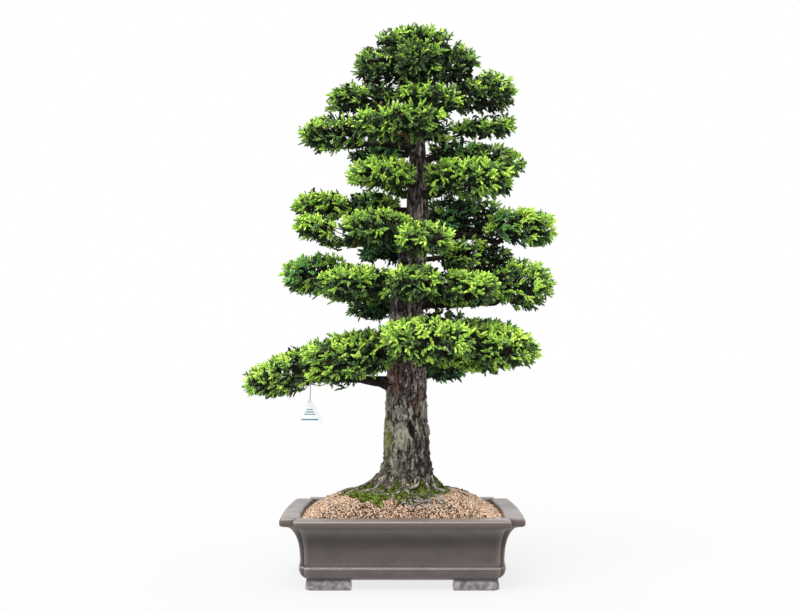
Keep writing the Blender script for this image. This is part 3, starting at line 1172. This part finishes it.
def shoots_of(sprays, plan):
    """(root, axis, bend, run, shade, coolness) of every finger of these sprays."""
    count = len(sprays)
    base, way, length = sprays[:, :3], sprays[:, 3:6], sprays[:, 6]
    value, young, cool = sprays[:, 7], sprays[:, 8], sprays[:, 9]
    flat = unit(np.cross(way, rng.normal(size=(count, 3)) + (0, 0, 1.8)))
    lift = np.cross(flat, way)
    rows = []
    for along, angle, share, fresh in plan:
        angle = np.radians(angle + rng.normal(0, 9, count))[:, None]
        axis = unit(way * np.cos(angle) + flat * np.sin(angle) + lift * rng.normal(0.22, 0.28, (count, 1)))
        bend = way * (0.9 * np.abs(np.sin(angle))) + rng.normal(0, 0.30, (count, 3)) + (0, 0, -0.75)
        bend -= axis * (bend * axis).sum(1, keepdims=True)
        root = base + way * (length * along)[:, None]
        run = length * share * rng.uniform(0.85, 1.15, count)
        shade = value + young * fresh * rng.uniform(0.55, 1.1, count) + rng.normal(0, 0.05, count)
        rows.append(np.column_stack([root, axis, bend, run, shade, cool]))
    return np.concatenate(rows)


def along_finger(shoots, t):
    """Point, way and two directions across, a share t along each finger."""
    root, axis, bend, run = shoots[:, :3], shoots[:, 3:6], shoots[:, 6:9], shoots[:, 9:10]
    way = unit(axis + bend * t)
    one = unit(np.cross(way, bend + axis * 0.1 + 1e-6))
    return root + (axis * t + bend * (0.5 * t * t)) * run, way, one, np.cross(way, one)


def kite(foot, out, across, length, wide, curl):
    """Four corners of one needle, (n, 4, 3): foot, two sides and the tip."""
    belly, side = foot + out * (0.40 * length), unit(across) * (wide / 2)
    return np.stack([foot, belly + side, foot + out * length + curl, belly - side], 1)


def needles_on(shoots, shares, turn, long, wide):
    """Needles set round each finger by the golden angle, leaning along it."""
    made = []
    for j, t in enumerate(shares):
        foot, way, one, two = along_finger(shoots, t)
        around = (j + turn) * GOLDEN
        radial = one * math.cos(around) + two * math.sin(around)
        lean = math.radians(46 - 16 * t)
        out = way * math.cos(lean) + radial * math.sin(lean)
        length = long * (1.05 - 0.30 * t) * rng.uniform(0.85, 1.15, (len(shoots), 1))
        made.append(kite(foot, out, np.cross(out, radial), length, wide, way * (0.14 * length)))
    return np.stack(made, 1).reshape(len(shoots), -1, 3)


def bodies(shoots, levels, wide, tip):
    """The green body of each finger between some levels, (share along, thickness): rings of three."""
    points = []
    for t, thick in levels:
        middle, _, one, two = along_finger(shoots, t)
        for turn in bearings(3) + (math.pi / 3 if t == MIDWAY else 0.0):
            points.append(middle + (one * math.cos(turn) + two * math.sin(turn)) * (wide * thick))
    if tip:
        middle, way = along_finger(shoots, 1.0)[:2]
        points.append(middle + way * 0.0004)
    return np.stack(points, 1)


BAND = [f for i in range(3) for f in ((i, (i + 1) % 3, 3 + i), ((i + 1) % 3, 3 + (i + 1) % 3, 3 + i))]
POINT = [(3 + i, 3 + (i + 1) % 3, 6) for i in range(3)]


def kite_faces(count, start):
    return [(start + 4 * j + a, start + 4 * j + b, start + 4 * j + c)
            for j in range(count) for a, b, c in ((0, 1, 2), (0, 2, 3))]


def fans_of(shoots):
    """Flat toothed sprays of old needles: three kites one before the other on each shoot."""
    made = []
    for t in (0.0, 0.30, 0.58):
        foot, way, one, two = along_finger(shoots, t)
        across = one * math.cos(1.1 * t) + two * math.sin(1.1 * t)
        length = shoots[:, 9:10] * (0.50 - 0.12 * t)
        made.append(kite(foot, way, across, length, INNER_WIDTH * (1.0 - 0.35 * t), 0.0))
    return np.stack(made, 1).reshape(len(shoots), -1, 3)


def tone_of(shoots, change, cools):
    """Which plain colour a part of each finger takes."""
    shade, cool = shoots[:, 10] + change + rng.normal(0, 0.05, len(shoots)), shoots[:, 11]
    kind = np.searchsorted(GREEN_EDGES, shade)
    kind = np.where((cool > 0.5) & (kind >= 1), COOL_KIND + np.clip(kind - 1, 0, cools - 1), kind)
    return np.where((shade < 0.30) & (cool < -0.12), OLD_KIND, kind)


def make_needles(sprays, inner, greens, cools, old):
    """Needle pieces, one or more for each plain colour."""
    outer, deep = shoots_of(sprays, FINGERS), shoots_of(inner, FANS)
    lower = np.concatenate([bodies(outer, ((0.0, 0.55), (MIDWAY, 1.0)), BODY_WIDTH, False),
                            needles_on(outer, (0.16, 0.30), 0, NEEDLE_LENGTH, NEEDLE_WIDTH)], 1)
    upper = np.concatenate([bodies(outer, ((MIDWAY, 1.0), (0.84, 0.86)), BODY_WIDTH, True),
                            needles_on(outer, (0.42, 0.58), 2, NEEDLE_LENGTH, NEEDLE_WIDTH)], 1)
    crown = needles_on(outer, (0.66, 0.75, 0.84), 4, NEEDLE_LENGTH, NEEDLE_WIDTH)
    sets = ((lower, BAND + kite_faces(2, 6), outer, -0.20),
            (upper, BAND + POINT + kite_faces(2, 7), outer, -0.03),
            (crown, kite_faces(3, 0), outer, 0.12),
            (fans_of(deep), kite_faces(3, 0), deep, 0.0))
    sets = [(points, np.array(faces), tone_of(shoots, change, len(cools)))
            for points, faces, shoots, change in sets]
    named = [(k, f"needles_{k + 1}", m) for k, m in enumerate(greens)]
    named += [(COOL_KIND + k, f"needles_cool_{k + 1}", m) for k, m in enumerate(cools)]
    pieces = []
    for k, name, material in named + [(OLD_KIND, "needles_old", old)]:
        lots, count = [[]], 0
        for points, faces, kind in sets:
            mine = points[kind == k]
            step = MOST_TRIANGLES // len(faces)
            for some in (mine[first:first + step] for first in range(0, len(mine), step)):
                if count and count + len(some) * len(faces) > MOST_TRIANGLES:
                    lots.append([])
                    count = 0
                lots[-1].append((some, faces))
                count += len(some) * len(faces)
        pieces += [joined(name if part == 0 else f"{name}_{part + 1}", lot, material)
                   for part, lot in enumerate(lots) if lot]
    return pieces


def joined(name, lot, material):
    """One piece from several sets of small forms that are alike."""
    points, faces, start = [], [], 0
    for some, form in lot:
        points.append(some.reshape(-1, 3))
        faces.append(start + copies(form, *some.shape[:2]))
        start += len(points[-1])
    return mesh_object(name, np.concatenate(points), np.concatenate(faces), material, False)


def make_twigs(wood, material):
    pieces = []
    for kind, sides in (("stem", 8), ("twig", 4), ("branchlet", 3), ("shoot", 3)):
        paths, radii = (np.concatenate(part) for part in zip(*wood[kind]))
        pieces.append(tubes(kind + "s", paths, radii, sides, material))
    return pieces


# ---- hang tag ----

def make_tag(paper, ink, cord):
    top = Vector(TAG_TOP)

    def corner(bm, x, z, lift=0.0):
        """A point of the card's curved front, at shares of its width and height."""
        y = -TAG_THICK / 2 - lift + 0.0012 * (x / 0.5) ** 2
        return bm.verts.new(top + Vector((x * TAG_WIDTH, y, z * TAG_HEIGHT)))

    bm = bmesh.new()
    front = [corner(bm, x, z) for x, z in (
        (-0.08, 0.0), (0.08, 0.0), (0.50, -0.93), (0.46, -1.0), (-0.46, -1.0), (-0.50, -0.93))]
    back = [bm.verts.new(v.co + Vector((0, TAG_THICK, 0))) for v in front]
    bm.faces.new(front)
    bm.faces.new(back[::-1])
    for i in range(len(front)):
        j = (i + 1) % len(front)
        bm.faces.new((front[i], front[j], back[j], back[i]))
    card = bmesh_object("tag_card", bm, paper, 30)
    bm = bmesh.new()
    for row, half, thick in (
            (-0.38, 0.11, 0.028), (-0.48, 0.16, 0.028), (-0.58, 0.21, 0.028), (-0.80, 0.32, 0.045)):
        bm.faces.new([corner(bm, x, z, INK_LIFT) for x, z in (
            (-half, row), (half, row), (half, row - thick), (-half, row - thick))])
    lines = bmesh_object("tag_lines", bm, ink)
    t = np.linspace(0, 1, 14)
    path = np.array(top) + np.stack([0.0010 * np.sin(4 * t), 0.0008 * np.sin(3 * t),
                                     -0.003 + t * (TAG_THREAD + 0.003)], -1)
    return card, lines, tubes("tag_thread", path[None], np.full((1, len(t)), THREAD_RADIUS), 6, cord)


# ---- finishes of the pieces ----

def clay(name, feet=False):
    nodes = Nodes(name)
    height = nodes.height()
    if feet:
        colour = nodes.ramp(nodes.noise(0.009, 4.0), tones((0.32, 92, 85, 89), (0.50, 140, 132, 136),
                                                           (0.68, 184, 176, 180)))
        colour = nodes.mix(nodes.range(height, 0.0125, 0.0150, 0.0, 0.75), colour, srgb(54, 48, 46))
    else:
        stops = ((0.020, 120, 109, 106), (0.034, 112, 100, 97), (0.036, 112, 100, 97), (0.040, 114, 102, 99),
                 (0.045, 105, 93, 90), (0.062, 104, 90, 86), (0.070, 84, 75, 70), (0.078, 71, 65, 61),
                 (0.084, 86, 80, 75), (0.0915, 116, 109, 102), (0.099, 150, 143, 135))
        colour = nodes.ramp(nodes.range(height, 0.012, 0.104, 0.0, 1.0),
                            tones(*(((z - 0.012) / 0.092, *tone) for z, *tone in stops)))
        veil = nodes.ramp(nodes.noise(0.022, 5.0, scale=(0.7, 0.7, 1.2)),
                          ((0.30, (0.70, 0.68, 0.68)), (0.52, (0.88, 0.88, 0.88)), (0.72, (1.0, 1.0, 0.98))))
        colour = nodes.mix(1.0, colour, veil, "MULTIPLY")
        edge = nodes.attribute("edge")
        light = nodes.times(nodes.range(edge, 0.15, 1.0, 0.0, 0.64),
                            nodes.range(height, 0.100, 0.104, 1.0, 0.30))
        for share, tone in ((nodes.range(height, 0.1005, 0.1025, 0.0, 1.0), (100, 86, 78)),
                            (nodes.range(height, 0.1085, 0.1135, 0.0, 1.0), (130, 118, 112)),
                            (light, (178, 166, 160)),
                            (nodes.range(edge, -0.10, -0.9, 0.0, 1.0), (40, 34, 32))):
            colour = nodes.mix(share, colour, srgb(*tone))
    grain = nodes.noise(0.0011, 3.0, 0.6)
    speck = nodes.range(grain, 0.30, 0.72, 0.78, 1.0)
    speck = nodes.ramp(speck, ((0.0, (0.0, 0.0, 0.0)), (1.0, (1.0, 1.0, 1.0))))
    colour = nodes.mix(1.0, colour, speck, "MULTIPLY")
    blotch = nodes.range(nodes.noise(0.055, 3.0, scale=(1.0, 1.0, 0.6)), 0.35, 0.70, 0.24, 0.40)
    nodes.bump(grain, 0.00026, 0.4)
    return nodes.finish(colour, blotch, 0.50)


BARK_TONES = {
    "trunk": tones((0.08, 32, 28, 28), (0.28, 88, 79, 78), (0.50, 142, 130, 127), (0.72, 200, 190, 186),
                   (0.95, 246, 240, 236)),
    "limb": tones((0.08, 16, 13, 12), (0.35, 40, 34, 31), (0.60, 68, 59, 54), (0.90, 110, 98, 91)),
    "root": tones((0.08, 44, 39, 35), (0.30, 104, 96, 84), (0.50, 164, 156, 144), (0.80, 220, 214, 204))}


def bark(kind):
    nodes = Nodes(kind + "_bark")
    relief = nodes.attribute("relief")
    fine = nodes.noise(0.0030, 5.0, 0.65, scale=(1.0, 1.0, 0.25))
    value = nodes.math("ADD", nodes.times(relief, 0.82), nodes.range(fine, 0.3, 0.7, -0.12, 0.18))
    colour = nodes.ramp(value, BARK_TONES[kind])
    warm = nodes.range(nodes.noise(0.040, 3.0, scale=(1.0, 1.0, 0.4)), 0.42, 0.66, 0.0, 0.30)
    colour = nodes.mix(warm, colour, nodes.mix(1.0, colour, (1.16, 0.94, 0.84), "MULTIPLY"))
    split = nodes.noise(0.0062, 3.0, 0.5, scale=(1.0, 1.0, 0.22), distortion=0.6)
    split = nodes.math("ABSOLUTE", nodes.math("SUBTRACT", split, 0.5))
    colour = nodes.mix(nodes.range(split, 0.0, 0.028, 0.88, 0.0), colour, srgb(26, 22, 21))
    if kind == "trunk":
        height = nodes.height()
        pale = nodes.times(nodes.range(height, 0.220, 0.246, 0.0, 0.40),
                           nodes.range(height, 0.286, 0.312, 1.0, 0.0))
        pale = nodes.times(pale, nodes.range(value, 0.20, 0.60, 0.0, 1.0))
        colour = nodes.mix(pale, colour, srgb(206, 208, 186))
        colour = nodes.mix(nodes.range(height, 0.170, 0.248, 0.72, 0.0), colour, srgb(48, 51, 38))
        for name, by, span, tone in (("rust", relief, (0.2, 0.8, 0.1, 0.75), (150, 96, 78)),
                                     ("lichen", value, (0.18, 0.75, 0.0, 0.80), (196, 200, 172)),
                                     ("gold", fine, (0.30, 0.60, 0.15, 0.8), (158, 158, 62)),
                                     ("moss", fine, (0.30, 0.55, 0.45, 1.0), (96, 112, 40))):
            share = nodes.times(nodes.attribute(name), nodes.range(by, *span))
            colour = nodes.mix(share, colour, srgb(*tone))
    nodes.bump(fine, 0.0012, 0.7)
    return nodes.finish(colour, 0.86, 0.22)


def bed():
    nodes = Nodes("bed_earth")
    colour = nodes.ramp(nodes.noise(0.004, 4.0), tones((0.3, 66, 50, 38), (0.7, 108, 86, 66)))
    return nodes.finish(colour, 0.95, 0.1)


def paper_floor():
    nodes = Nodes("floor_paper")
    nodes.shader.inputs["Emission Color"].default_value = (1.0, 1.0, 1.0, 1.0)
    nodes.shader.inputs["Emission Strength"].default_value = FLOOR_GLOW
    return nodes.finish((FLOOR_TONE,) * 3, 0.9, 0.0)


# ---- put together ----

def done(obj, *nodes):
    """Puts a piece on its body and says which solids it stands for."""
    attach(obj, "root")
    if nodes:
        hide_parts(*nodes)


def sun_light(name, elevation, azimuth, spread, power):
    """Soft light from a broad patch of sky; azimuth 0 is in front of the object, 90 at its right."""
    data = bpy.data.lights.new(name, "SUN")
    data.angle, data.energy = math.radians(spread), power
    lamp = bpy.data.objects.new(name, data)
    e, a = math.radians(elevation), math.radians(azimuth)
    way = Vector((-math.cos(e) * math.sin(a), math.cos(e) * math.cos(a), -math.sin(e)))
    lamp.rotation_euler = way.to_track_quat("-Z", "Y").to_euler()
    lamp.location = -way * 3.0
    bpy.context.scene.collection.objects.link(lamp)


pot_body, pot_feet = make_pot(clay("pot_clay"), clay("feet_clay", True))
done(pot_body, "pot")
done(pot_feet)

surface = ground_tree()
done(make_bed(bed()), "soil")
tans = family("granule", 0.92, 0.15, tan=(222, 186, 156), sand=(240, 210, 184), brown=(196, 158, 128),
              dark=(146, 118, 96)) + family("granule", 0.90, 0.2, pale=(250, 238, 222))
for obj in (make_stones(surface, tans, GRANULE_SHARES)
            + make_litter(surface, family("twig", 0.8, 0.3, grey=(186, 176, 166), dark=(66, 54, 46)))
            + make_moss(surface, family("moss", 0.8, 0.3, dark=(74, 86, 34), mid=(116, 140, 42),
                                        bright=(164, 190, 62)))):
    done(obj)

done(make_trunk(bark("trunk")), "trunk")
for obj in make_boughs(bark("limb")):
    done(obj, obj.name.replace("limb", "bough"))
for obj in make_roots(surface, bark("root")):
    done(obj)

wood = {"stem": [], "twig": [], "branchlet": [], "shoot": []}
sprays, inner = [], []
for mass in MASSES:
    grow_mass(mass, wood, sprays, inner)
sprays, inner = np.vstack(sprays), np.vstack(inner)
twigs = make_twigs(wood, plain("twig_bark", srgb(62, 50, 40), 0.85, 0.1))
greens = [plain(f"needle_{k + 1}", tone, 0.60, 0.06 + 0.05 * k) for k, tone in enumerate(GREENS)]
cools = [plain(f"needle_cool_{k + 1}", tone, 0.60, 0.10 + 0.06 * k) for k, tone in enumerate(COOLS)]
foliage = make_needles(sprays, inner, greens, cools, plain("needle_old", srgb(104, 90, 54), 0.7, 0.2))
done(foliage[0], *["mass_" + mass[0] for mass in MASSES])
for obj in foliage[1:] + twigs:
    done(obj)

card, lines, thread = make_tag(plain("tag_paper", (0.66, 0.68, 0.70), 0.7, 0.2),
                               plain("tag_ink", srgb(70, 150, 160), 0.6),
                               plain("tag_thread", srgb(58, 60, 66), 0.8))
done(card, "hang_tag")
done(lines)
done(thread)

# ---- floor, light and camera ----
bpy.ops.mesh.primitive_plane_add(size=400.0, location=(0.0, 0.0, -0.0006))
floor = bpy.context.object
floor.name = "floor"
floor.data.materials.append(paper_floor())

world = bpy.data.worlds.new("studio")
world.use_nodes = True
sky = world.node_tree.nodes["Background"].inputs
sky["Color"].default_value, sky["Strength"].default_value = (1.0, 1.0, 1.0, 1.0), SKY
bpy.context.scene.world = world
sun_light("key", 52, -28, 50, KEY)
sun_light("top", 82, 30, 70, TOP)

camera_data = bpy.data.cameras.new("camera")
camera_data.sensor_width, camera_data.lens = 36.0, CAMERA_LENS
camera = bpy.data.objects.new("camera", camera_data)
camera.location = CAMERA_PLACE
camera.rotation_euler = (math.radians(CAMERA_TILT), 0.0, 0.0)
bpy.context.scene.collection.objects.link(camera)
bpy.context.scene.camera = camera
bpy.context.scene.view_settings.view_transform = "Standard"
